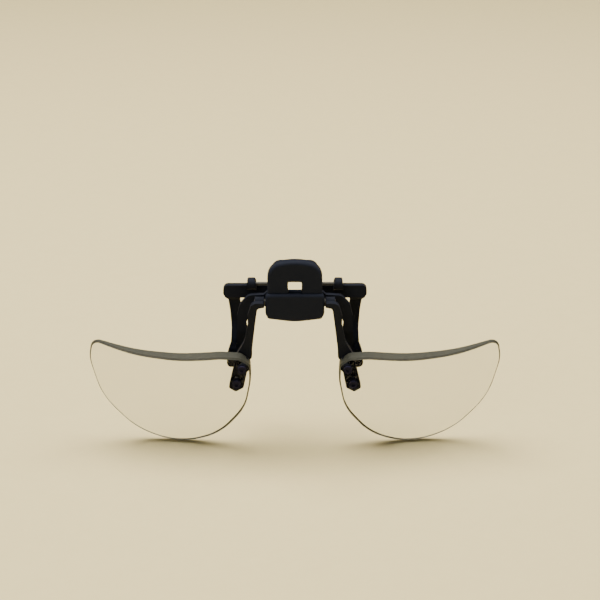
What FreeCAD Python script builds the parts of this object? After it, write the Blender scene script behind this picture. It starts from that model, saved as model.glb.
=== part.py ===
import FreeCAD, Part
import math
import os
import Sketcher
from FreeCAD import Placement, Rotation, Vector

# A flip-up lens clip for spectacles. Millimetres, +X to the right as seen from the front,
# +Y back towards the wearer's face, +Z up. The origin is the middle of the grip,
# halfway between the front and rear rubber boots.

DRIVING_SIZES = [
    ("through", 60.0, "long enough to pass right through the clip"),
    # the jaw hinge
    ("pivot_y", -1.0, "jaw hinge axis, front to back"),
    ("pivot_z", 19.6, "jaw hinge axis, height"),
    ("pin_radius", 0.42, "jaw hinge pins"),
    ("running_gap", 0.05, "radial clearance of everything that turns"),
    ("knuckle_radius", 1.15, "barrels of the front frame around the pins"),
    ("ear_radius", 1.2, "barrels of the rear jaw around the pins"),
    ("ear_inner", 9.3, "inner side of a rear jaw ear"),
    ("ear_width", 2.0, "thickness of a rear jaw ear"),
    ("inner_knuckle", 2.3, "inner side of the knuckle beside the window"),
    ("inner_knuckle_width", 0.7, "thickness of the knuckle beside the window"),
    ("outer_knuckle", 5.0, "inner side of the outer knuckle"),
    ("outer_knuckle_width", 1.2, "thickness of the outer knuckle"),
    # the rear jaw
    ("bar_front", 0.5, "front face of the cross bar"),
    ("bar_back", 2.3, "back face of the cross bar"),
    ("bar_top", 18.5, "top of the cross bar"),
    ("bar_bottom", 15.35, "underside of the cross bar, which sits on the rims"),
    ("bar_half", 17.1, "half the length of the cross bar"),
    ("rear_tab_top", 24.4, "top of the rear thumb tab"),
    ("rear_tab_half", 5.6, "half the width of the rear thumb tab"),
    ("rear_window_half", 1.92, "half the width of the window in the rear thumb tab"),
    ("rear_window_bottom", 16.4, "lower edge of that window"),
    ("rear_window_top", 19.6, "upper edge of that window"),
    # the grip
    ("grip_half_gap", 0.15, "each boot's distance from the middle of the grip"),
    ("core_front", 0.9, "gripping side of a jaw's paddle"),
    ("core_back", 2.2, "outer side of a jaw's paddle"),
    ("boot_back", 2.8, "outer side of a rubber boot"),
    ("boot_top", 3.4, "top of a rubber boot, where it meets the leg flush"),
    ("boot_bottom", -2.3, "bottom of a rubber boot"),
    ("boot_wall", 0.55, "rubber around the sides and the end of a jaw's paddle"),
    ("bow", 2.3, "inner side of a leg where it passes the spectacle rim"),
    ("leg_thick", 1.35, "thickness of a leg, front to back"),
    # the front frame and its cover
    ("split_y", -5.6, "plane where the cover meets the frame, through the flip axis"),
    ("block_back", -2.6, "back of the frame's middle block"),
    ("block_top", 18.6, "top of the frame's middle block"),
    ("block_half", 6.5, "half the width of the frame's middle block"),
    ("cover_front", -7.7, "front of the cover around the flip shaft"),
    ("tab_front", -6.9, "front of the thumb tab"),
    ("tab_back", -4.4, "back of the thumb tab"),
    ("tab_top", 27.45, "top of the thumb tab, before its long curve"),
    ("tab_half", 6.4, "half the width of the thumb tab"),
    ("window_half", 1.62, "half the width of the window in the thumb tab"),
    ("window_bottom", 19.35, "lower edge of the window"),
    ("window_top", 22.25, "upper edge of the window"),
    ("cover_top", 19.3, "top of the cover, just under the window"),
    ("soft_edge", 0.7, "rounding of the front edges of the tab and its cover"),
    ("peg_radius", 0.5, "locating pegs of the cover"),
    ("peg_x", 4.8, "locating pegs, from the middle"),
    ("peg_z", 15.0, "locating pegs, height"),
    ("peg_length", 1.2, "how far the pegs stand out of the cover"),
    # the flip hinge
    ("flip_z", 16.7, "flip axis, height"),
    ("shaft_radius", 0.8, "flip shaft"),
    ("hub_radius", 1.3, "hubs of the lens arms"),
    ("shaft_bevel", 0.15, "bevel on the ends of the flip shaft"),
    ("hub_inner", 7.2, "inner end of a hub"),
    ("hub_width", 2.2, "length of a hub"),
    ("lens_tilt", 7.0, "degrees that the lenses lean, lower edge towards the face"),
    # the lens arms, measured in the leaning plane from the flip axis
    ("arm_back", 0.95, "back of an arm, forward of the flip axis"),
    ("arm_thick", 1.5, "thickness of an arm"),
    ("seat_depth", 2.5, "thickness of the foot before the lens is let into it"),
    # the lenses
    ("lens_centre_x", 21.0, "optical centre, from the middle"),
    ("lens_centre_w", -16.8, "optical centre, below the flip axis"),
    ("lens_back_forward", 2.85, "back vertex of a lens, forward of the flip axis"),
    ("lens_thick", 3.5, "centre thickness of a lens"),
    ("lens_front_curve", 60.0, "radius of a lens's front surface"),
    ("lens_back_curve", 90.0, "radius of a lens's back surface"),
    ("safety_bevel", 0.4, "bevels ground round the front and back rims of a lens"),
    # the lens fasteners
    ("screw_radius", 0.6, "screw shank"),
    ("hole_radius", 0.65, "screw holes in the lens and the foot"),
    ("head_radius", 1.0, "screw head"),
    ("head_height", 0.5, "screw head"),
    ("washer_radius", 1.2, "soft washer under the head"),
    ("washer_height", 0.75, "washer, head to lens at its middle"),
    ("nut_radius", 1.15, "nut, centre to corner"),
    ("nut_height", 0.8, "nut"),
    # the springs
    ("coil_radius", 0.85, "jaw spring, middle of the wire"),
    ("wire_radius", 0.18, "jaw spring wire"),
    ("leaf_thick", 0.25, "flip friction spring"),
    ("leaf_half", 2.3, "half the width of the flip friction spring"),
    ("leaf_reach", 1.35, "half the height of the flip friction spring"),
    ("pocket_half", 1.5, "half the height of the pocket it sits in"),
    ("pocket_depth", 1.2, "depth of that pocket, behind the shaft's channel"),
]

doc = FreeCAD.newDocument("FlipLensClip")
sheet = doc.addObject("Spreadsheet::Sheet", "Sizes")
for row, (alias, value, meaning) in enumerate(DRIVING_SIZES, start=1):
    sheet.set(f"A{row}", alias)
    sheet.set(f"B{row}", str(value))
    sheet.set(f"C{row}", meaning)
    sheet.setAlias(f"B{row}", alias)
doc.recompute()

ALONG_X = Vector(1, 0, 0)
ALONG_Y = Vector(0, 1, 0)
ALONG_Z = Vector(0, 0, 1)
FRONT_VIEW = Rotation(ALONG_X, 90)
SIDE_VIEW = Rotation(Vector(1, 1, 1), 120)

# How far the side profiles run past the top and the bottom of the outlines they are cut with.
PAST_TOP = 26.0
PAST_BOTTOM = -5.0

finished = {}


def size(alias):
    """A driving size, read back from the sheet."""
    return float(sheet.get(alias))


# ---------------------------------------------------------------- outlines


def rounded(corners):
    """Lines and tangent arcs of a closed outline whose corners are (across, up, radius)."""
    count = len(corners)
    ends = []
    for number, (across, up, radius) in enumerate(corners):
        here = Vector(across, up, 0)
        before = Vector(*corners[number - 1][:2], 0)
        after = Vector(*corners[(number + 1) % count][:2], 0)
        back = (before - here).normalize()
        ahead = (after - here).normalize()
        half_angle = back.getAngle(ahead) / 2
        if radius <= 0 or half_angle > math.pi / 2 - 0.001:
            ends.append((here, None, here))
            continue
        reach = radius / math.tan(half_angle)
        middle = here + (back + ahead).normalize() * (radius / math.sin(half_angle))
        nearest = middle + (here - middle).normalize() * radius
        ends.append((here + back * reach, nearest, here + ahead * reach))
    edges = []
    for number, (start, nearest, finish) in enumerate(ends):
        if nearest is not None:
            edges.append(Part.Arc(start, nearest, finish))
        following = ends[(number + 1) % count][0]
        corner = Vector(*corners[number][:2], 0)
        side = Vector(*corners[(number + 1) % count][:2], 0) - corner
        if (following - corner).dot(side) < (finish - corner).dot(side) - 1e-6:
            raise ValueError(f"the arcs of corners {number} and {number + 1} run into each other")
        if finish.distanceToPoint(following) > 1e-6:
            edges.append(Part.LineSegment(finish, following))
    return edges


def both_sides(right_half):
    """A closed outline from its right half, listed from the top middle to the bottom middle."""
    left_half = [(-across, up, radius) for across, up, radius in reversed(right_half) if across > 0]
    return right_half + left_half


def to_side(corners, side):
    """An outline drawn for the right, moved to the side asked for."""
    return [(side * across, up, radius) for across, up, radius in corners]


def free_sketch(name, corners, turn):
    sketch = doc.addObject("Sketcher::SketchObject", name)
    sketch.Placement = Placement(Vector(), turn)
    sketch.addGeometry(rounded(corners), False)
    return sketch


def body_sketch(body, name, role, offset="0 mm"):
    """An empty sketch on one of the body's own origin planes, moved along the plane's normal."""
    sketch = body.newObject("Sketcher::SketchObject", name)
    plane = next(item for item in body.Origin.OriginFeatures if item.Role == role)
    sketch.AttachmentSupport = [(plane, "")]
    sketch.MapMode = "FlatFace"
    sketch.setExpression(".AttachmentOffset.Base.z", offset)
    return sketch


# ---------------------------------------------------------------- solids


def extrude(name, sketch, direction, start, length):
    """A straight extrusion of a free sketch. Start is a distance and length is an expression."""
    solid = doc.addObject("Part::Extrusion", name)
    solid.Base = sketch
    solid.DirMode = "Custom"
    solid.Dir = direction
    solid.Solid = True
    solid.setExpression("LengthFwd", length)
    solid.Placement = Placement(direction * start, Rotation())
    return solid


def front_slab(name, corners, start=None, length="Sizes.through"):
    """An outline seen from the front, given depth from start towards +Y, or right through the clip."""
    start = -size("through") / 2 if start is None else start
    return extrude(name, free_sketch(name + "_outline", corners, FRONT_VIEW), ALONG_Y, start, length)


def side_slab(name, corners, start=None, length="Sizes.through"):
    """An outline seen from the side, given width from start towards +X, or right through the clip."""
    start = -size("through") / 2 if start is None else start
    return extrude(name, free_sketch(name + "_outline", corners, SIDE_VIEW), ALONG_X, start, length)


def cylinder(name, radius, height, base, axis):
    rod = doc.addObject("Part::Cylinder", name)
    rod.setExpression("Radius", radius)
    rod.setExpression("Height", height)
    rod.Placement = Placement(base, Rotation(ALONG_Z, axis))
    return rod


def cross_rod(name, radius, forward, up):
    """A round bar along X, right through the clip."""
    return cylinder(name, radius, "Sizes.through", Vector(-size("through") / 2, forward, up), ALONG_X)


def box(name, length, width, height, corner):
    block = doc.addObject("Part::Box", name)
    block.setExpression("Length", length)
    block.setExpression("Width", width)
    block.setExpression("Height", height)
    block.Placement = Placement(corner, Rotation())
    return block


def join(name, pieces):
    result = doc.addObject("Part::MultiFuse", name)
    result.Shapes = pieces
    result.Refine = True
    return result


def remove(name, base, tool):
    result = doc.addObject("Part::Cut", name)
    result.Base = base
    result.Tool = tool
    result.Refine = True
    return result


def overlap(name, first, second):
    result = doc.addObject("Part::MultiCommon", name)
    result.Shapes = [first, second]
    result.Refine = True
    return result


def finish(node, thing):
    thing.Label = node
    finished[node] = thing
    return thing


def side_name(side):
    return "right" if side > 0 else "left"


def from_left(side, inner, width):
    """The lower X of a piece that starts at inner and is width long, on the given side."""
    return inner if side > 0 else -inner - width


# ---------------------------------------------------------------- rear jaw


# The end of each leg inside its rubber boot, as (across, up), down the outer side and up the inner side.
REAR_BOOT_OUTER = [(15.5, 3.4), (16.2, 1.2), (17.1, -0.6)]
REAR_BOOT_INNER = [(11.5, -0.6), (11.6, 1.2), (11.9, 3.4)]
FRONT_BOOT_OUTER = [(14.2, 3.4), (14.3, 1.2), (14.3, -0.6)]
FRONT_BOOT_INNER = [(11.3, -0.6), (11.2, 1.2), (11.2, 3.4)]


def paddle(outer, inner):
    """The part of a leg that its boot covers, from the outer shoulder round to the inner one."""
    wall = size("boot_wall")
    top = size("boot_top")
    bottom = size("boot_bottom") + wall
    return [
        (outer[0][0] - wall, top, 0),
        (outer[1][0] - wall, outer[1][1], 4.0),
        (outer[2][0] - wall, bottom, 0.9),
        (inner[0][0] + wall, bottom, 0.9),
        (inner[1][0] + wall, inner[1][1], 4.0),
        (inner[2][0] + wall, top, 0),
    ]


def rear_outline():
    bar_half = size("bar_half")
    bar_top = size("bar_top")
    bar_bottom = size("bar_bottom")
    tab_half = size("rear_tab_half")
    boot_top = size("boot_top")
    return both_sides([
        (0, size("rear_tab_top"), 0),
        (tab_half, size("rear_tab_top"), 2.2),
        (tab_half, bar_top, 0.5),
        (bar_half, bar_top, 1.2),
        (bar_half, 16.3, 1.0),
        (16.0, 14.4, 1.2),
        (15.6, 11.5, 4.0),
        (15.3, 7.0, 6.0),
        (REAR_BOOT_OUTER[0][0], boot_top, 0),
        *paddle(REAR_BOOT_OUTER, REAR_BOOT_INNER),
        (REAR_BOOT_INNER[2][0], boot_top, 0),
        (12.2, 6.0, 5.0),
        (12.8, 9.4, 5.0),
        (13.3, bar_bottom, 0.6),
        (6.4, bar_bottom, 1.0),
        (5.2, 13.6, 1.0),
        (0, 13.6, 0),
    ])


def rear_side_profile():
    """The cross bar stands over the rim and the leg bows back behind it, then returns to the lens."""
    bow = size("bow")
    thick = size("leg_thick")
    return [
        (size("bar_front"), PAST_TOP, 0),
        (size("bar_front"), size("bar_bottom") + 0.1, 0.3),
        (bow, 14.2, 0.8),
        (bow, 8.6, 3.0),
        (size("core_front"), 4.3, 3.0),
        (size("core_front"), PAST_BOTTOM, 0),
        (size("core_back"), PAST_BOTTOM, 0),
        (size("core_back"), 4.0, 3.0),
        (bow + thick, 8.2, 3.0),
        (bow + thick, 15.2, 1.2),
        (size("bar_back"), 17.2, 0.8),
        (size("bar_back"), PAST_TOP, 0),
    ]


def ear_profile():
    """A barrel around the hinge pin, with a foot down to the cross bar."""
    radius = size("ear_radius")
    pivot_y = size("pivot_y")
    pivot_z = size("pivot_z")
    return [
        (pivot_y - radius, pivot_z + radius, radius * 0.999),
        (pivot_y + radius, pivot_z + radius, radius * 0.7),
        (size("bar_back"), size("bar_top") + 0.3, 0.4),
        (size("bar_back"), size("bar_top") - 1.0, 0),
        (size("bar_front") + 0.2, size("bar_top") - 1.0, 0),
        (pivot_y - radius, pivot_z - radius, radius * 0.999),
    ]


# How much wider an ear is on each side at its foot, and how much of its top corners is cut off.
EAR_FLARE = 0.3
EAR_CORNER = 0.35
EAR_CORNER_DROP = 0.7


def ear_outline():
    """Seen from the front an ear narrows upwards and its top corners are cut off."""
    inner = size("ear_inner")
    outer = inner + size("ear_width")
    top = size("pivot_z") + size("ear_radius")
    foot = size("bar_top") - 1.5
    return [
        (inner - EAR_FLARE, foot, 0),
        (inner, top - EAR_CORNER_DROP, 0.5),
        (inner + EAR_CORNER, top + 0.05, 0.2),
        (outer - EAR_CORNER, top + 0.05, 0.2),
        (outer, top - EAR_CORNER_DROP, 0.5),
        (outer + EAR_FLARE, foot, 0),
    ]


def build_rear_jaw():
    plate = front_slab("rear_plate", rear_outline())
    profile = side_slab("rear_profile", rear_side_profile())
    bent = overlap("rear_bent", plate, profile)
    pieces = [bent]
    for side in (-1, 1):
        name = f"ear_{side_name(side)}"
        start = from_left(side, size("ear_inner") - EAR_FLARE, size("ear_width") + 2 * EAR_FLARE)
        barrel = side_slab(f"{name}_barrel", ear_profile(), start, f"Sizes.ear_width + {2 * EAR_FLARE}")
        taper = front_slab(f"{name}_taper", to_side(ear_outline(), side))
        pieces.append(overlap(name, barrel, taper))
    solid = join("rear_solid", pieces)
    window = box("rear_window", "2 * Sizes.rear_window_half", "Sizes.through",
                 "Sizes.rear_window_top - Sizes.rear_window_bottom",
                 Vector(-size("rear_window_half"), -size("through") / 2, size("rear_window_bottom")))
    bore = cross_rod("rear_bore", "Sizes.pin_radius + Sizes.running_gap", size("pivot_y"), size("pivot_z"))
    cut = remove("rear_cut", solid, window)
    return finish("rear_jaw", remove("rear_jaw", cut, bore))


# ---------------------------------------------------------------- front frame


def front_outline():
    block_half = size("block_half")
    boot_top = size("boot_top")
    return both_sides([
        (0, size("block_top"), 0),
        (block_half, size("block_top"), 0.5),
        (7.3, 17.8, 0.5),
        (11.0, 17.6, 1.8),
        (13.0, 15.3, 2.2),
        (13.7, 12.4, 3.0),
        (13.9, 6.6, 4.0),
        (FRONT_BOOT_OUTER[0][0], boot_top, 0),
        *paddle(FRONT_BOOT_OUTER, FRONT_BOOT_INNER),
        (FRONT_BOOT_INNER[2][0], boot_top, 0),
        (10.9, 7.0, 5.0),
        (11.6, 10.6, 2.4),
        (10.7, 13.0, 1.6),
        (8.9, 14.7, 1.5),
        (block_half, 14.9, 0.4),
        (block_half, 13.4, 0.5),
        (0, 13.0, 0),
    ])


def front_side_profile():
    """The leg hangs in front of the rim, then bows back to the lens."""
    bow = size("bow")
    thick = size("leg_thick")
    return [
        (-bow - thick, PAST_TOP, 0),
        (-bow - thick, 8.2, 3.0),
        (-size("core_back"), 4.0, 3.0),
        (-size("core_back"), PAST_BOTTOM, 0),
        (-size("core_front"), PAST_BOTTOM, 0),
        (-size("core_front"), 4.3, 3.0),
        (-bow, 8.6, 3.0),
        (-bow, PAST_TOP, 0),
    ]


def knuckle_profile():
    """A barrel around the hinge pin, with a root down to the middle block."""
    radius = size("knuckle_radius")
    pivot_y = size("pivot_y")
    pivot_z = size("pivot_z")
    root = size("block_back") - 0.6
    return [
        (pivot_y - radius, pivot_z + radius, radius * 0.999),
        (pivot_y + radius, pivot_z + radius, radius * 0.999),
        (pivot_y + radius, pivot_z - radius * 0.7, radius * 0.7),
        (size("block_back") + 0.4, 17.0, 0.4),
        (root, 17.0, 0),
        (root, size("block_top"), 0),
    ]


# The leaf's pocket starts inside the shaft's channel and is a little wider than the leaf.
POCKET_START = 0.5
POCKET_SIDE_ROOM = 0.2

# How much deeper the hole for a peg of the cover is than the peg.
PEG_HOLE_ROOM = 0.2


def build_front_frame():
    plate = front_slab("front_plate", front_outline())
    profile = side_slab("front_profile", front_side_profile())
    legs = overlap("front_legs", plate, profile)
    middle = [(across, up, radius) for across, up, radius in front_outline()
              if abs(across) <= size("block_half")]
    block = front_slab("front_block", middle, size("split_y"), "Sizes.block_back - Sizes.split_y")
    pieces = [legs, block]
    for side in (-1, 1):
        for which in ("inner_knuckle", "outer_knuckle"):
            start = from_left(side, size(which), size(which + "_width"))
            name = f"{which}_{side_name(side)}"
            pieces.append(side_slab(name, knuckle_profile(), start, f"Sizes.{which}_width"))
    solid = join("front_solid", pieces)
    tools = [
        cross_rod("front_bore", "Sizes.pin_radius", size("pivot_y"), size("pivot_z")),
        cross_rod("front_groove", "Sizes.shaft_radius + Sizes.running_gap",
                  size("split_y"), size("flip_z")),
        box("leaf_pocket", f"2 * (Sizes.leaf_half + {POCKET_SIDE_ROOM})", "Sizes.pocket_depth",
            "2 * Sizes.pocket_half",
            Vector(-size("leaf_half") - POCKET_SIDE_ROOM, size("split_y") + POCKET_START,
                   size("flip_z") - size("pocket_half"))),
    ]
    for side in (-1, 1):
        tools.append(cylinder(f"peg_hole_{side_name(side)}", "Sizes.peg_radius",
                              f"Sizes.peg_length + {PEG_HOLE_ROOM}",
                              Vector(side * size("peg_x"), size("split_y"), size("peg_z")), ALONG_Y))
    return finish("front_frame", remove("front_frame", solid, join("front_tools", tools)))


# ---------------------------------------------------------------- thumb tab


# The foot of the tab clears the top of the frame's middle block by this much.
TAB_FOOT_ROOM = 0.05


def tab_outline():
    foot = size("block_top") + TAB_FOOT_ROOM
    return both_sides([
        (0, size("tab_top"), 14.0),
        (size("tab_half"), size("tab_top") - 1.4, 3.8),
        (size("tab_half"), foot, 0),
        (0, foot, 0),
    ])


def cover_outline():
    half = size("block_half") + 0.4
    return both_sides([
        (0, size("cover_top"), 0),
        (half - 0.35, size("cover_top"), 0.8),
        (half, size("cover_top") - 1.0, 0.8),
        (half, 14.5, 1.0),
        (half - 0.6, 13.15, 0.8),
        (0, 12.35, 16.0),
    ])


WINDOW_CORNER = 0.35


def window_outline():
    half = size("window_half")
    return [
        (-half, size("window_bottom"), WINDOW_CORNER),
        (half, size("window_bottom"), WINDOW_CORNER),
        (half, size("window_top"), WINDOW_CORNER),
        (-half, size("window_top"), WINDOW_CORNER),
    ]


def front_rim(shape):
    """The front edges of the tab and its cover that a thumb feels, but not those of the window."""
    rim = []
    for number, edge in enumerate(shape.Edges, start=1):
        limits = edge.BoundBox
        flat = limits.YLength < 0.01
        on_cover = abs(limits.YMin - size("cover_front")) < 0.01
        on_tab = abs(limits.YMin - size("tab_front")) < 0.01 and limits.ZMax > size("window_top") + 0.5
        if flat and (on_cover or on_tab):
            rim.append(f"Edge{number}")
    return rim


def build_thumb_tab():
    body = doc.addObject("PartDesign::Body", "ThumbTab")
    outline = body_sketch(body, "TabOutline", "XZ_Plane", "-Sizes.tab_back")
    outline.addGeometry(rounded(tab_outline()), False)
    tab = body.newObject("PartDesign::Pad", "Tab")
    tab.Profile = outline
    tab.setExpression("Length", "Sizes.tab_back - Sizes.tab_front")
    outline = body_sketch(body, "CoverOutline", "XZ_Plane", "-Sizes.split_y")
    outline.addGeometry(rounded(cover_outline()), False)
    cover = body.newObject("PartDesign::Pad", "Cover")
    cover.Profile = outline
    cover.setExpression("Length", "Sizes.split_y - Sizes.cover_front")
    pegs = body_sketch(body, "PegCircles", "XZ_Plane", "-Sizes.split_y")
    for side in (-1, 1):
        index = pegs.addGeometry(Part.Circle(Vector(side * size("peg_x"), size("peg_z"), 0), ALONG_Z,
                                             size("peg_radius")), False)
        number = pegs.addConstraint(Sketcher.Constraint("Radius", index, size("peg_radius")))
        pegs.setExpression(f"Constraints[{number}]", "Sizes.peg_radius")
    peg_pad = body.newObject("PartDesign::Pad", "Pegs")
    peg_pad.Profile = pegs
    peg_pad.Reversed = True
    peg_pad.setExpression("Length", "Sizes.peg_length")
    window = body_sketch(body, "WindowOutline", "XZ_Plane")
    window.addGeometry(rounded(window_outline()), False)
    opening = body.newObject("PartDesign::Pocket", "Window")
    opening.Profile = window
    opening.Type = "ThroughAll"
    opening.Midplane = True
    groove = body_sketch(body, "ShaftCircle", "YZ_Plane")
    index = groove.addGeometry(Part.Circle(Vector(size("split_y"), size("flip_z"), 0), ALONG_Z,
                                           size("shaft_radius")), False)
    number = groove.addConstraint(Sketcher.Constraint("Radius", index, size("shaft_radius")))
    groove.setExpression(f"Constraints[{number}]", "Sizes.shaft_radius + Sizes.running_gap")
    channel = body.newObject("PartDesign::Pocket", "ShaftChannel")
    channel.Profile = groove
    channel.Type = "ThroughAll"
    channel.Midplane = True
    doc.recompute()
    softened = body.newObject("PartDesign::Fillet", "SoftFront")
    softened.Base = (channel, front_rim(channel.Shape))
    softened.setExpression("Radius", "Sizes.soft_edge")
    return finish("thumb_tab", body)


# ---------------------------------------------------------------- pins, shaft and springs


def build_jaw_pin(side):
    start = size("inner_knuckle") + size("running_gap")
    length = "Sizes.ear_inner + Sizes.ear_width - Sizes.inner_knuckle - Sizes.running_gap"
    reach = size("ear_inner") + size("ear_width") - start
    base = Vector(from_left(side, start, reach), size("pivot_y"), size("pivot_z"))
    node = f"jaw_pin_{side_name(side)}"
    return finish(node, cylinder(node, "Sizes.pin_radius", length, base, ALONG_X))


def tangent_angle(centre, radius, point, turn):
    """Where a straight wire from the point meets the coil, turning the given way round it."""
    across = point[0] - centre[0]
    up = point[1] - centre[1]
    return math.atan2(up, across) + turn * math.acos(radius / math.hypot(across, up))


# Room between the spring's wires and the tabs, and between its coil and the knuckles.
WIRE_ROOM = 0.06
COIL_ROOM = 0.12

# The heights at which the two wires end, behind the thumb tab and in front of the rear tab.
FRONT_WIRE_END = 22.6
REAR_WIRE_END = 23.0

# The bend between coil and wire is a ball, this many times as wide as the wire.
BEND_WIDTH = 1.03

COIL_TURNS = 3
POINTS_PER_TURN = 24


def build_jaw_spring(side):
    """A torsion spring around the pin, with one wire against the thumb tab and one on the rear tab.

    The wire is laid out for the left, and the right spring is its mirror image.
    """
    node = f"jaw_spring_{side_name(side)}"
    centre = (size("pivot_y"), size("pivot_z"))
    radius = size("coil_radius")
    wire = size("wire_radius")
    front_end = (size("tab_back") + wire + WIRE_ROOM, FRONT_WIRE_END)
    rear_end = (size("bar_front") - wire - WIRE_ROOM, REAR_WIRE_END)
    start = tangent_angle(centre, radius, front_end, -1)
    finish_angle = tangent_angle(centre, radius, rear_end, 1)
    sweep = (finish_angle - start) % (2 * math.pi) + 2 * math.pi * COIL_TURNS
    inner = size("inner_knuckle") + size("inner_knuckle_width") + wire + COIL_ROOM
    outer = size("outer_knuckle") - wire - COIL_ROOM
    steps = POINTS_PER_TURN * COIL_TURNS

    def on_coil(part):
        angle = start + sweep * part
        across = inner + (outer - inner) * part
        return Vector(-across, centre[0] + radius * math.cos(angle), centre[1] + radius * math.sin(angle))

    points = [on_coil(step / steps) for step in range(steps + 1)]
    coil = Part.BSplineCurve()
    coil.interpolate(points)
    front_tip = Vector(points[0].x, *front_end)
    rear_tip = Vector(points[-1].x, *rear_end)
    solids = []
    for path in (coil.toShape(), Part.makeLine(front_tip, points[0]), Part.makeLine(points[-1], rear_tip)):
        heading = path.tangentAt(path.FirstParameter)
        ring = Part.Wire(Part.makeCircle(wire, path.valueAt(path.FirstParameter), heading))
        solids.append(Part.Wire(path).makePipeShell([ring], True, False))
    for joint in (points[0], points[-1]):
        solids.append(Part.makeSphere(wire * BEND_WIDTH, joint))
    shape = solids[0].fuse(solids[1:]).removeSplitter()
    if side > 0:
        shape = shape.mirror(Vector(), ALONG_X)
    spring = doc.addObject("Part::Feature", node)
    spring.Shape = shape
    spring.Placement = Placement()
    return finish(node, spring)


def build_detent_spring():
    """A bowed leaf that leans on the shaft and rests its ends in the back of the pocket."""
    back = size("split_y") + POCKET_START + size("pocket_depth") - WIRE_ROOM
    near = size("split_y") + size("shaft_radius") + size("running_gap")
    thick = size("leaf_thick")
    height = size("leaf_reach")
    middle = size("flip_z")
    front = back - thick
    inner = [Vector(front, middle - height), Vector(near, middle), Vector(front, middle + height)]
    outer = [point + Vector(thick, 0, 0) for point in inner]
    sketch = doc.addObject("Sketcher::SketchObject", "leaf_outline")
    sketch.Placement = Placement(Vector(), SIDE_VIEW)
    sketch.addGeometry([
        Part.Arc(*inner),
        Part.LineSegment(inner[2], outer[2]),
        Part.Arc(*outer),
        Part.LineSegment(outer[0], inner[0]),
    ], False)
    leaf = extrude("detent_spring", sketch, ALONG_X, -size("leaf_half"), "2 * Sizes.leaf_half")
    return finish("detent_spring", leaf)


# ---------------------------------------------------------------- rubber boots


def boot_outline(outer, inner):
    """Flush with the leg at the top, flaring to a round end."""
    bottom = size("boot_bottom")
    return [
        (outer[0][0], size("boot_top"), 0),
        (*outer[1], 4.0),
        (outer[2][0], bottom, 1.4),
        (inner[0][0], bottom, 1.4),
        (*inner[1], 4.0),
        (inner[2][0], size("boot_top"), 0),
    ]


BOOT_TAPER = 1.3


def boot_profile(face):
    """The rear boot seen from the side; a front boot is its mirror image. Face is 1 for the rear."""
    grip = size("grip_half_gap")
    back = size("boot_back")
    top = size("boot_top")
    bottom = size("boot_bottom")
    return [
        (face * size("core_front"), top, 0),
        (face * grip, top - BOOT_TAPER, 1.0),
        (face * grip, bottom, 0.6),
        (face * back, bottom, 1.1),
        (face * back, top - BOOT_TAPER, 1.0),
        (face * size("core_back"), top, 0),
    ]


def build_boot(name, jaw, side, face, outer, inner):
    """A boot that is pulled over the end of a leg, so its hollow is the leg itself."""
    node = f"{name}_{side_name(side)}"
    plate = front_slab(node + "_plate", to_side(boot_outline(outer, inner), side))
    profile = side_slab(node + "_profile", boot_profile(face))
    block = overlap(node + "_block", plate, profile)
    return finish(node, remove(node, block, jaw))


# ---------------------------------------------------------------- lens carrier


CARRIER = Placement(Vector(0, size("split_y"), size("flip_z")), Rotation(ALONG_X, size("lens_tilt")))
SCREW_PLACES = {"upper": (12.45, -14.5), "lower": (13.8, -18.4)}


def carried(thing):
    """Move a piece from the leaning plane of the lenses to its place."""
    thing.Placement = CARRIER.multiply(thing.Placement)
    return thing


def build_flip_shaft():
    body = doc.addObject("PartDesign::Body", "FlipShaft")
    reach = "Sizes.hub_inner + Sizes.hub_width + 0.1"
    sketch = body_sketch(body, "ShaftEnd", "YZ_Plane", f"-({reach})")
    add_centred_circle(sketch, "Sizes.shaft_radius")
    rod = body.newObject("PartDesign::Pad", "Rod")
    rod.Profile = sketch
    rod.setExpression("Length", f"2 * ({reach})")
    doc.recompute()
    ends = [f"Edge{number}" for number, edge in enumerate(rod.Shape.Edges, start=1)
            if edge.BoundBox.XLength < 0.01]
    bevel = body.newObject("PartDesign::Chamfer", "Ends")
    bevel.Base = (rod, ends)
    bevel.setExpression("Size", "Sizes.shaft_bevel")
    return finish("flip_shaft", carried(body))


def add_centred_circle(sketch, radius):
    index = sketch.addGeometry(Part.Circle(Vector(), ALONG_Z, 1), False)
    sketch.addConstraint(Sketcher.Constraint("Coincident", index, 3, -1, 1))
    number = sketch.addConstraint(Sketcher.Constraint("Radius", index, 1.0))
    sketch.setExpression(f"Constraints[{number}]", radius)


def arm_outline():
    """From the hub down past the inner side of the leg, widening into the foot behind the lens."""
    inner = size("hub_inner")
    return [
        (inner, 0.9, 0.3),
        (10.1, 0.9, 1.6),
        (11.1, -2.6, 3.0),
        (11.0, -4.8, 4.0),
        (11.9, -9.4, 5.0),
        (14.3, -13.8, 2.0),
        *foot_end(),
        (11.3, -15.4, 1.0),
        (10.2, -13.6, 0.8),
        (10.15, -11.6, 4.0),
        (9.6, -6.8, 8.0),
        (9.05, -2.4, 3.0),
        (8.75, -0.45, 0.7),
        (inner, -0.15, 0.2),
    ]


def foot_end():
    """The lower end of the foot, which comes to a blunt point."""
    return [
        (15.95, -21.1, 0.6),
        (14.35, -22.3, 0.5),
        (12.5, -21.3, 0.5),
    ]


def foot_outline():
    return [
        (11.0, -13.2, 0.6),
        (14.1, -13.2, 0.6),
        *foot_end(),
        (11.3, -15.4, 0.8),
    ]


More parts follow.
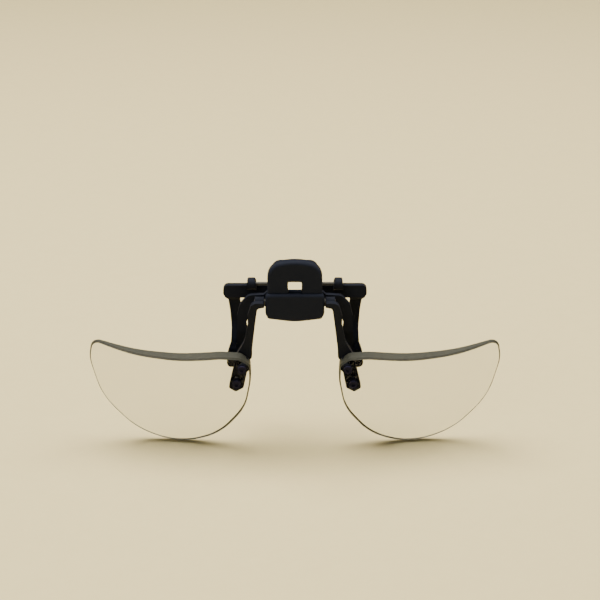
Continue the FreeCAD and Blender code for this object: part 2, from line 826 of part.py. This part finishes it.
def build_lens_arm(side, lens_front):
    name = side_name(side)
    body = doc.addObject("PartDesign::Body", f"LensArm_{name}")
    strip_sketch = body_sketch(body, f"ArmOutline_{name}", "XZ_Plane", "Sizes.arm_back")
    strip_sketch.addGeometry(rounded(to_side(arm_outline(), side)), False)
    strip = body.newObject("PartDesign::Pad", f"Strip_{name}")
    strip.Profile = strip_sketch
    strip.setExpression("Length", "Sizes.arm_thick")
    foot_sketch = body_sketch(body, f"FootOutline_{name}", "XZ_Plane", "Sizes.arm_back")
    foot_sketch.addGeometry(rounded(to_side(foot_outline(), side)), False)
    foot = body.newObject("PartDesign::Pad", f"Foot_{name}")
    foot.Profile = foot_sketch
    foot.setExpression("Length", "Sizes.seat_depth")
    hub_start = "Sizes.hub_inner" if side > 0 else "-Sizes.hub_inner - Sizes.hub_width"
    hub_sketch = body_sketch(body, f"HubCircle_{name}", "YZ_Plane", hub_start)
    add_centred_circle(hub_sketch, "Sizes.hub_radius")
    hub = body.newObject("PartDesign::Pad", f"Hub_{name}")
    hub.Profile = hub_sketch
    hub.setExpression("Length", "Sizes.hub_width")
    bore_sketch = body_sketch(body, f"BoreCircle_{name}", "YZ_Plane")
    add_centred_circle(bore_sketch, "Sizes.shaft_radius")
    bore = body.newObject("PartDesign::Pocket", f"Bore_{name}")
    bore.Profile = bore_sketch
    bore.Type = "ThroughAll"
    bore.Midplane = True
    hole_sketch = body_sketch(body, f"ScrewHoles_{name}", "XZ_Plane")
    for across, down in SCREW_PLACES.values():
        index = hole_sketch.addGeometry(
            Part.Circle(Vector(side * across, down, 0), ALONG_Z, size("hole_radius")), False)
        number = hole_sketch.addConstraint(Sketcher.Constraint("Radius", index, size("hole_radius")))
        hole_sketch.setExpression(f"Constraints[{number}]", "Sizes.hole_radius")
    holes = body.newObject("PartDesign::Pocket", f"Holes_{name}")
    holes.Profile = hole_sketch
    holes.Type = "ThroughAll"
    holes.Midplane = True
    carried(body)
    node = f"lens_arm_{name}"
    return finish(node, remove(node, body, lens_front))


def lens_outline():
    """A half-moon: a nearly straight top, a deep round bottom, and the outer tip a little higher."""
    return [
        (10.5, -14.1, 1.6),
        (12.9, -12.1, 2.5),
        (17.5, -11.6, 14.0),
        (27.0, -12.2, 60.0),
        (38.0, -11.8, 60.0),
        (48.4, -10.2, 2.4),
        (49.5, -15.6, 9.0),
        (46.9, -26.2, 17.0),
        (39.0, -35.1, 17.0),
        (28.6, -38.8, 16.0),
        (18.4, -34.9, 16.0),
        (11.9, -26.4, 14.0),
        (10.4, -18.2, 12.0),
    ]


def lens_forward(across, down, vertex, curve):
    """How far forward of the flip axis a lens surface is at one place."""
    from_centre = math.hypot(across - size("lens_centre_x"), down - size("lens_centre_w"))
    return vertex - (curve - math.sqrt(curve ** 2 - from_centre ** 2))


def lens_sphere(name, side, curve, vertex_forward):
    ball = doc.addObject("Part::Sphere", name)
    ball.setExpression("Radius", f"Sizes.{curve}")
    centre = Vector(side * size("lens_centre_x"), size(curve) - vertex_forward, size("lens_centre_w"))
    ball.Placement = Placement(centre, Rotation())
    return carried(ball)


def bevelled(name, blank):
    """The lens with its safety bevels, ground round the rims of the front and back surfaces."""
    doc.recompute()
    bevel = size("safety_bevel")
    rims = [rim for face in blank.Shape.Faces if isinstance(face.Surface, Part.Sphere)
            for rim in face.OuterWire.Edges]
    ground = doc.addObject("Part::Chamfer", name)
    ground.Base = blank
    ground.Edges = [(number, bevel, bevel) for number, edge in enumerate(blank.Shape.Edges, start=1)
                    if any(edge.isSame(rim) for rim in rims)]
    return ground


def build_lens(side):
    """The lens, and the space in front of its back surface that the arm's foot is cut to."""
    name = side_name(side)
    back_vertex = size("lens_back_forward")
    front_vertex = back_vertex + size("lens_thick")
    slab = carried(front_slab(f"lens_block_{name}", to_side(lens_outline(), side)))
    back_ball = lens_sphere(f"back_ball_{name}", side, "lens_back_curve", back_vertex)
    front_ball = lens_sphere(f"front_ball_{name}", side, "lens_front_curve", front_vertex)
    lens_front = remove(f"lens_front_{name}", slab, back_ball)
    blank = overlap(f"lens_blank_{name}", lens_front, front_ball)
    drills = []
    for place, (across, down) in SCREW_PLACES.items():
        base = Vector(side * across, -size("through") / 2, down)
        drill = cylinder(f"drill_{name}_{place}", "Sizes.hole_radius", "Sizes.through", base, ALONG_Y)
        drills.append(carried(drill))
    node = f"lens_{name}"
    ground = bevelled(f"lens_ground_{name}", blank)
    finish(node, remove(node, ground, join(f"drills_{name}", drills)))
    return lens_front, front_ball


# A short length by which one solid runs into or past another before they are joined or cut.
OVERRUN = 0.1


def hexagon(name, radius, height, base):
    prism = doc.addObject("Part::Prism", name)
    prism.Polygon = 6
    prism.setExpression("Circumradius", radius)
    prism.setExpression("Height", height)
    prism.Placement = Placement(base, Rotation(ALONG_Z, ALONG_Y))
    return prism


def build_screw(label, centre, head_back):
    """A round head with a hexagon socket, and a shank that ends just behind the nut."""
    tail = size("nut_height") - size("arm_back") + 1.5 * OVERRUN
    head = cylinder(f"head_{label}", "Sizes.head_radius", "Sizes.head_height",
                    centre + ALONG_Y * (head_back - size("head_height")), ALONG_Y)
    shank = cylinder(f"shank_{label}", "Sizes.screw_radius", f"{tail - head_back + OVERRUN} mm",
                     centre + ALONG_Y * (head_back - OVERRUN), ALONG_Y)
    socket = hexagon(f"socket_{label}", "Sizes.head_radius * 0.6", "Sizes.head_height",
                     centre + ALONG_Y * (head_back - 1.2 * size("head_height")))
    screw = remove(f"screw_{label}", join(f"screw_solid_{label}", [head, shank]), socket)
    finish(f"screw_{label}", carried(screw))


def build_washer(label, centre, head_back, front_ball):
    """A soft washer, flat under the head and shaped to the lens's front surface behind."""
    ring = cylinder(f"ring_{label}", "Sizes.washer_radius", "2 * Sizes.washer_height",
                    centre + ALONG_Y * head_back, ALONG_Y)
    eye = cylinder(f"eye_{label}", "Sizes.hole_radius", "3 * Sizes.washer_height",
                   centre + ALONG_Y * (head_back - OVERRUN), ALONG_Y)
    blank = carried(remove(f"washer_blank_{label}", ring, eye))
    finish(f"washer_{label}", remove(f"washer_{label}", blank, front_ball))


def build_nut(label, centre):
    seat = centre - ALONG_Y * size("arm_back")
    body = hexagon(f"hexagon_{label}", "Sizes.nut_radius", "Sizes.nut_height", seat)
    thread = cylinder(f"thread_{label}", "Sizes.screw_radius", "2 * Sizes.nut_height",
                      seat - ALONG_Y * OVERRUN, ALONG_Y)
    finish(f"nut_{label}", carried(remove(f"nut_{label}", body, thread)))


def build_fasteners(side, front_ball):
    front_vertex = size("lens_back_forward") + size("lens_thick")
    for place, (across, down) in SCREW_PLACES.items():
        surface = -lens_forward(across, down, front_vertex, size("lens_front_curve"))
        head_back = surface - size("washer_height")
        centre = Vector(side * across, 0, down)
        label = f"{side_name(side)}_{place}"
        build_screw(label, centre, head_back)
        build_washer(label, centre, head_back, front_ball)
        build_nut(label, centre)


# ---------------------------------------------------------------- assembly


rear_jaw = build_rear_jaw()
front_frame = build_front_frame()
build_thumb_tab()
build_flip_shaft()
build_detent_spring()
for side in (-1, 1):
    build_jaw_pin(side)
    build_jaw_spring(side)
    build_boot("boot_rear", rear_jaw, side, 1, REAR_BOOT_OUTER, REAR_BOOT_INNER)
    build_boot("boot_front", front_frame, side, -1, FRONT_BOOT_OUTER, FRONT_BOOT_INNER)
    lens_front, front_ball = build_lens(side)
    build_lens_arm(side, lens_front)
    build_fasteners(side, front_ball)
doc.recompute()

for thing in doc.Objects:
    if "Invalid" in thing.State or "Error" in thing.State:
        raise RuntimeError(f"{thing.Name} did not build: {thing.State}")

os.makedirs("parts", exist_ok=True)
for node, thing in finished.items():
    shape = thing.Shape
    if shape.isNull() or not shape.isValid() or len(shape.Solids) != 1:
        raise RuntimeError(f"{node} is not one valid solid ({len(shape.Solids)} found)")
    shape.exportStep(f"parts/{node}.step")
    limits = shape.BoundBox
    print(f"{node:20s} {shape.Volume:9.2f} mm3  x {limits.XMin:7.2f} {limits.XMax:7.2f}"
          f"  y {limits.YMin:7.2f} {limits.YMax:7.2f}  z {limits.ZMin:7.2f} {limits.ZMax:7.2f}")
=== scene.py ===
import math

import bpy
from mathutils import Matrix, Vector


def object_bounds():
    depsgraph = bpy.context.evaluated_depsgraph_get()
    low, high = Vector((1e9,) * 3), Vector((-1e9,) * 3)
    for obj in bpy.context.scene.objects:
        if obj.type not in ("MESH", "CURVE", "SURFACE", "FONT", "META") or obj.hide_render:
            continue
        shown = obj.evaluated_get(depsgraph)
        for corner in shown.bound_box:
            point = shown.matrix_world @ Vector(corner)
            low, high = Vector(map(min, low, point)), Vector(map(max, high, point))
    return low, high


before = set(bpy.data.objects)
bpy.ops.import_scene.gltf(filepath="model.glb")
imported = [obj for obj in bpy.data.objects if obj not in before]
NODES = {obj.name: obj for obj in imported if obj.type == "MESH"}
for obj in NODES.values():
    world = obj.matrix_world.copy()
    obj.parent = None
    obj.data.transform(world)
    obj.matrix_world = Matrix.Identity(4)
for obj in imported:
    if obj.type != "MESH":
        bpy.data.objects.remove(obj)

MM = 0.001
CAD_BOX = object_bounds()

# ---------------------------------------------------------------- driving sizes

LENS_TILT = math.radians(7.0)
CAMERA_ELEVATION = math.radians(22.0)
CAMERA_DISTANCE = 0.34
SCENE_WIDTH = 0.143
SENSOR_WIDTH = 36.0
AIM = Vector((0.0012, 0.0, 0.0150))
FLOOR_GAP = 0.0004
CREAM = (0.70, 0.57, 0.28, 1.0)

# Soft edges: how finely they are rounded, and the sharpest turn that stays as it is.
BEVEL_SEGMENTS = 3
BEVEL_ANGLE = math.radians(32)

# ---------------------------------------------------------------- node helpers

# The colour sockets of a Mix node, which have the same names as its number sockets.
FIRST_COLOUR = 6
SECOND_COLOUR = 7
MIXED_COLOUR = 2


class Shader:
    """A material and short ways to add nodes to it."""

    def __init__(self, name):
        self.material = bpy.data.materials.new(name)
        self.material.use_nodes = True
        self.tree = self.material.node_tree
        self.surface = self.tree.nodes["Principled BSDF"]
        self.place = self.tree.nodes.new("ShaderNodeTexCoord")

    def node(self, kind, **settings):
        made = self.tree.nodes.new(kind)
        for key, value in settings.items():
            setattr(made, key, value)
        return made

    def link(self, source, target):
        self.tree.links.new(source, target)

    def fixed(self, **values):
        """Numbers and colours that are the same all over the surface."""
        for key, value in values.items():
            self.surface.inputs[key.replace("_", " ")].default_value = value

    def stretched(self, scale):
        """Object coordinates, scaled differently along each axis."""
        mapping = self.node("ShaderNodeMapping")
        mapping.inputs["Scale"].default_value = scale
        self.link(self.place.outputs["Object"], mapping.inputs["Vector"])
        return mapping.outputs["Vector"]

    def noise(self, scale, detail=4.0, roughness=0.55, vector=None):
        made = self.node("ShaderNodeTexNoise")
        made.inputs["Scale"].default_value = scale
        made.inputs["Detail"].default_value = detail
        made.inputs["Roughness"].default_value = roughness
        self.link(vector or self.place.outputs["Object"], made.inputs["Vector"])
        return made.outputs["Fac"]

    def spread(self, value, low, high, start=0.3, stop=0.7):
        """A value between start and stop, moved to between low and high."""
        made = self.node("ShaderNodeMapRange")
        made.inputs["From Min"].default_value = start
        made.inputs["From Max"].default_value = stop
        made.inputs["To Min"].default_value = low
        made.inputs["To Max"].default_value = high
        self.link(value, made.inputs["Value"])
        return made.outputs["Result"]

    def blend(self, amount, first, second):
        """A colour between two, by a value."""
        made = self.node("ShaderNodeMix", data_type="RGBA")
        self.link(amount, made.inputs["Factor"])
        for value, socket in ((first, made.inputs[FIRST_COLOUR]), (second, made.inputs[SECOND_COLOUR])):
            if isinstance(value, tuple):
                socket.default_value = value
            else:
                self.link(value, socket)
        return made.outputs[MIXED_COLOUR]

    def bump(self, height, strength, depth, after=None):
        made = self.node("ShaderNodeBump")
        made.inputs["Strength"].default_value = strength
        made.inputs["Distance"].default_value = depth
        self.link(height, made.inputs["Height"])
        if after is not None:
            self.link(after, made.inputs["Normal"])
        return made.outputs["Normal"]

    def edges(self, radius, start, stop):
        """1 on edges sharper than the radius and 0 on flat and gently curved faces."""
        rounded = self.node("ShaderNodeBevel", samples=4)
        rounded.inputs["Radius"].default_value = radius
        facing = self.node("ShaderNodeVectorMath", operation="DOT_PRODUCT")
        self.link(rounded.outputs["Normal"], facing.inputs[0])
        self.link(self.node("ShaderNodeNewGeometry").outputs["Normal"], facing.inputs[1])
        return self.spread(facing.outputs["Value"], 1.0, 0.0, stop, start)

    def connect(self, colour=None, roughness=None, normal=None):
        for source, key in ((colour, "Base Color"), (roughness, "Roughness"), (normal, "Normal")):
            if source is not None:
                self.link(source, self.surface.inputs[key])


# ---------------------------------------------------------------- materials


def moulded_plastic(name, dark, light, edge_highlight_colour):
    """Satin black injection moulding: fine spark grain, faint flow marks, and a painted highlight along
    its edges.
    """
    shader = Shader(name)
    shader.fixed(IOR=1.46, Specular_IOR_Level=0.035)
    flow = shader.noise(180.0, 3.0, 0.6)
    grain = shader.noise(9000.0, 3.0, 0.6)
    # Painted highlight: the edges are coloured lighter where they turn sharply.
    edge_highlight_mask = shader.edges(0.22 * MM, 0.80, 0.985)
    # Part of the cool blue in the dark and light colours is painted sheen, strongest in the tab's
    # colours.
    body = shader.blend(shader.spread(flow, 0.0, 1.0), dark, light)
    colour = shader.blend(edge_highlight_mask, body, edge_highlight_colour)
    handling = shader.spread(shader.noise(420.0, 5.0, 0.65), 0.56, 0.74)
    normal = shader.bump(grain, 0.30, 0.00002)
    normal = shader.bump(flow, 0.15, 0.00006, after=normal)
    shader.connect(colour, handling, normal)
    return shader.material


def boot_rubber():
    """Soft silicone boot: matte, dusty, with a faint moulding ripple."""
    shader = Shader("boot rubber")
    shader.fixed(IOR=1.42, Specular_IOR_Level=0.05)
    dust = shader.noise(1400.0, 6.0, 0.7)
    ripple = shader.noise(320.0, 2.0, 0.5)
    colour = shader.blend(shader.spread(dust, 0.0, 1.0),
                          (0.0034, 0.0038, 0.0060, 1), (0.0066, 0.0070, 0.0108, 1))
    rough = shader.spread(dust, 0.62, 0.82)
    normal = shader.bump(ripple, 0.25, 0.00008)
    normal = shader.bump(shader.noise(7000.0), 0.25, 0.00002, after=normal)
    shader.connect(colour, rough, normal)
    return shader.material


def optical_lens():
    """Clear coated lens with polished faces and a ground, frosted edge whose dark grey colour is painted
    shade.
    """
    shader = Shader("optical lens")
    shader.fixed(IOR=1.50, Specular_IOR_Level=0.5, Specular_Tint=(0.12, 0.12, 0.16, 1.0))
    facing = shader.node("ShaderNodeVectorMath", operation="DOT_PRODUCT")
    facing.inputs[1].default_value = (0.0, math.cos(LENS_TILT), math.sin(LENS_TILT))
    shader.link(shader.place.outputs["Normal"], facing.inputs[0])
    squareness = shader.node("ShaderNodeMath", operation="ABSOLUTE")
    shader.link(facing.outputs["Value"], squareness.inputs[0])
    ground = shader.spread(squareness.outputs["Value"], 1.0, 0.0, 0.76, 0.88)
    wheel = shader.noise(900.0, 3.0, 0.5, shader.stretched((1.0, 6.0, 1.0)))
    # Painted shade: the ground edge is coloured dark grey, with the wheel marks varying it.
    painted_edge_shade = shader.blend(shader.spread(wheel, 0.0, 1.0),
                         (0.040, 0.040, 0.030, 1), (0.062, 0.061, 0.046, 1))
    colour = shader.blend(ground, (0.87, 0.875, 0.86, 1), painted_edge_shade)
    smear = shader.spread(shader.noise(60.0, 5.0, 0.6), 0.0, 0.03)
    rough = shader.node("ShaderNodeMath", operation="MULTIPLY_ADD")
    rough.inputs[1].default_value = 0.45
    shader.link(ground, rough.inputs[0])
    shader.link(smear, rough.inputs[2])
    shader.link(shader.spread(ground, 1.0, 0.05, 0.0, 1.0), shader.surface.inputs["Transmission Weight"])
    shader.connect(colour, rough.outputs["Value"], shader.bump(wheel, 0.06, 0.00002))
    return shader.material


def black_fastener():
    """Black oxide steel: nearly black, its cool tint partly painted sheen, with a painted highlight
    along its edges.
    """
    shader = Shader("black fastener")
    shader.fixed(IOR=1.50, Specular_IOR_Level=0.02)
    turn = shader.noise(2600.0, 4.0, 0.6, shader.stretched((1.0, 0.2, 1.0)))
    edge_highlight_mask = shader.edges(0.10 * MM, 0.75, 0.98)
    body = shader.blend(shader.spread(turn, 0.0, 1.0),
                        (0.0016, 0.0016, 0.0034, 1), (0.0034, 0.0034, 0.0072, 1))
    # The lighter edge colour is a painted highlight on the head rims.
    colour = shader.blend(edge_highlight_mask, body, (0.016, 0.015, 0.030, 1))
    rough = shader.spread(turn, 0.26, 0.42)
    shader.connect(colour, rough, shader.bump(turn, 0.2, 0.00002))
    return shader.material


def drawn_steel(name, dark, light, smooth, dull):
    """Spring wire, turned pins and the shaft, with fine lines along their length."""
    shader = Shader(name)
    shader.fixed(Metallic=1.0)
    lines = shader.noise(1500.0, 5.0, 0.6, shader.stretched((0.15, 4.0, 4.0)))
    colour = shader.blend(shader.spread(lines, 0.0, 1.0), dark, light)
    rough = shader.spread(lines, smooth, dull)
    shader.connect(colour, rough, shader.bump(lines, 0.25, 0.00001))
    return shader.material


def studio_paper():
    """The pale cream floor and backdrop."""
    shader = Shader("studio paper")
    shader.fixed(Roughness=0.9, Specular_IOR_Level=0.15)
    fibre = shader.noise(260.0, 6.0, 0.7)
    darker = tuple(part * 0.97 for part in CREAM[:3]) + (1.0,)
    shader.connect(shader.blend(shader.spread(fibre, 0.0, 1.0), darker, CREAM))
    return shader.material


# ---------------------------------------------------------------- dressing the CAD nodes


def dress(name, material, bevel):
    """Give a CAD node its material and, where it is moulded or cut, slightly soft edges."""
    piece = NODES[name]
    piece.data.materials.clear()
    piece.data.materials.append(material)
    if bevel > 0:
        soft = piece.modifiers.new("soft edges", "BEVEL")
        soft.width = bevel
        soft.segments = BEVEL_SEGMENTS
        soft.limit_method = "ANGLE"
        soft.angle_limit = BEVEL_ANGLE
        soft.harden_normals = True


def dress_all():
    # The third colour of each plastic is its painted edge highlight.
    frame_plastic = moulded_plastic("frame plastic", (0.0038, 0.0044, 0.0070, 1),
                                    (0.0070, 0.0080, 0.0124, 1), (0.0115, 0.0128, 0.0182, 1))
    tab_plastic = moulded_plastic("tab plastic", (0.0036, 0.0044, 0.0076, 1),
                                  (0.0066, 0.0078, 0.0136, 1), (0.0115, 0.0134, 0.0205, 1))
    rubber = boot_rubber()
    glass = optical_lens()
    fastener = black_fastener()
    pin_steel = drawn_steel("pin steel", (0.085, 0.081, 0.071, 1),
                            (0.130, 0.124, 0.110, 1), 0.62, 0.80)
    spring_steel = drawn_steel("spring steel", (0.30, 0.29, 0.27, 1),
                               (0.46, 0.45, 0.43, 1), 0.24, 0.42)
    looks = [
        ("thumb_tab", tab_plastic, 0.12 * MM),
        ("front_frame", frame_plastic, 0.14 * MM),
        ("rear_jaw", frame_plastic, 0.18 * MM),
        ("lens_arm_", frame_plastic, 0.16 * MM),
        ("boot_", rubber, 0.35 * MM),
        ("washer_", rubber, 0.06 * MM),
        ("screw_", fastener, 0.06 * MM),
        ("nut_", fastener, 0.05 * MM),
        ("jaw_pin_", pin_steel, 0.06 * MM),
        ("jaw_spring_", spring_steel, 0.0),
        ("detent_spring", spring_steel, 0.0),
        ("flip_shaft", pin_steel, 0.0),
        ("lens_left", glass, 0.0),
        ("lens_right", glass, 0.0),
    ]
    for name in NODES:
        material, bevel = next(look[1:] for look in looks if name.startswith(look[0]))
        dress(name, material, bevel)


# ---------------------------------------------------------------- studio


def build_backdrop():
    """A pale sheet that lies under the clip and curves up behind it."""
    floor = CAD_BOX[0][2] - FLOOR_GAP
    half = 1.6
    front = -1.2
    bend_start = 0.9
    bend_radius = 0.5
    bend_steps = 16
    top = 1.6
    profile = [(front, floor), (bend_start, floor)]
    for step in range(1, bend_steps + 1):
        angle = math.pi / 2 * step / bend_steps
        profile.append((bend_start + bend_radius * math.sin(angle),
                        floor + bend_radius * (1 - math.cos(angle))))
    profile.append((bend_start + bend_radius, floor + top))
    points = [(side * half, y, z) for side in (-1, 1) for y, z in profile]
    count = len(profile)
    faces = [(row, row + 1, count + row + 1, count + row) for row in range(count - 1)]
    mesh = bpy.data.meshes.new("studio_sheet")
    mesh.from_pydata(points, [], faces)
    mesh.materials.append(studio_paper())
    for face in mesh.polygons:
        face.use_smooth = True
    sheet = bpy.data.objects.new("studio_sheet", mesh)
    bpy.context.scene.collection.objects.link(sheet)


def add_light(name, place, target, size, power, colour):
    lamp = bpy.data.lights.new(name, "AREA")
    lamp.shape = "DISK"
    lamp.size = size
    lamp.energy = power
    lamp.color = colour
    holder = bpy.data.objects.new(name, lamp)
    holder.location = place
    holder.rotation_euler = (Vector(target) - Vector(place)).to_track_quat("-Z", "Y").to_euler()
    bpy.context.scene.collection.objects.link(holder)


def light_studio():
    add_light("key", (-0.28, 0.12, 0.95), AIM, 0.9, 22.0, (1.0, 0.98, 0.94))
    add_light("side", (0.50, 0.10, 0.85), AIM, 0.8, 10.0, (1.0, 0.98, 0.95))
    add_light("fill", (-0.40, -0.60, 0.35), AIM, 0.5, 1.2, (0.70, 0.84, 1.0))
    world = bpy.data.worlds.new("studio air")
    bpy.context.scene.world = world
    world.use_nodes = True
    sky = world.node_tree.nodes["Background"]
    sky.inputs["Color"].default_value = (0.86, 0.92, 1.0, 1.0)
    sky.inputs["Strength"].default_value = 0.15


def place_camera():
    lens = bpy.data.cameras.new("photo view")
    lens.sensor_width = SENSOR_WIDTH
    lens.lens = SENSOR_WIDTH * CAMERA_DISTANCE / SCENE_WIDTH
    lens.clip_start = 0.01
    camera = bpy.data.objects.new("photo view", lens)
    back = Vector((0.0, -math.cos(CAMERA_ELEVATION), math.sin(CAMERA_ELEVATION)))
    camera.location = AIM + back * CAMERA_DISTANCE
    camera.rotation_euler = (-back).to_track_quat("-Z", "Y").to_euler()
    bpy.context.scene.collection.objects.link(camera)
    bpy.context.scene.camera = camera


dress_all()
build_backdrop()
light_studio()
place_camera()
